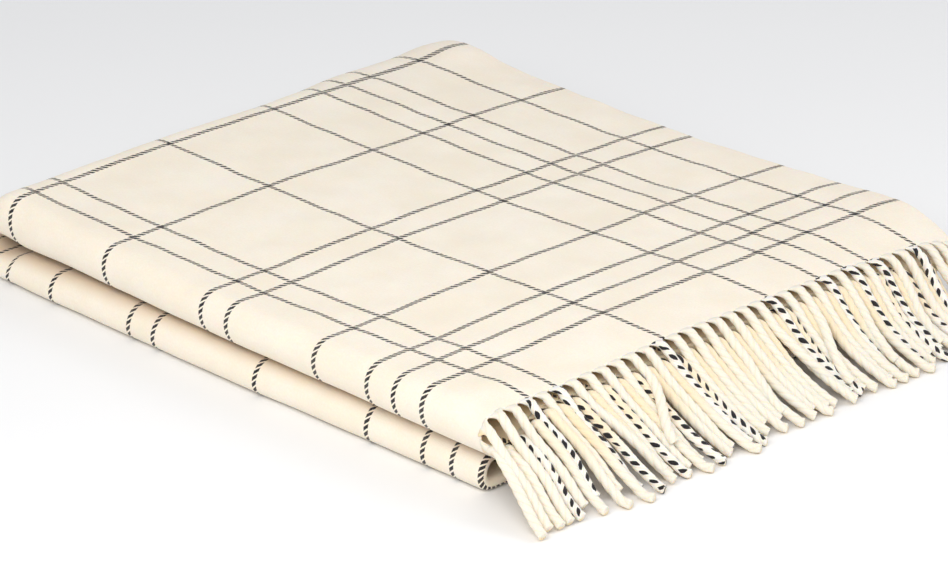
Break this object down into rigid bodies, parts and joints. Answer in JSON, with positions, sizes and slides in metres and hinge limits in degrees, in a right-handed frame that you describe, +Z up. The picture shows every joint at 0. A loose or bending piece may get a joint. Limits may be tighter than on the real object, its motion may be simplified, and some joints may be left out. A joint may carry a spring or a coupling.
{
  "type": "wool throw blanket",
  "caption": "Folded woven wool throw with a wide windowpane check and a twisted fringe, lying flat in a soft stack",
  "frame": {"origin": "on the floor, under the middle of the folded throw's overall box", "axes": "+X along the folded throw towards the free fringe, +Y from the folded noses towards the selvedges, +Z up"},
  "size_m": [0.871, 0.71, 0.0956],
  "materials": {
    "wool": "brushed, matt",
    "fringe_wool": "twisted yarn, matt"
  },
  "bodies": {
    "root": {"cloth": "wool", "end_fringe": "fringe_wool", "tucked_fringe": "fringe_wool"}
  },
  "joints": []
}
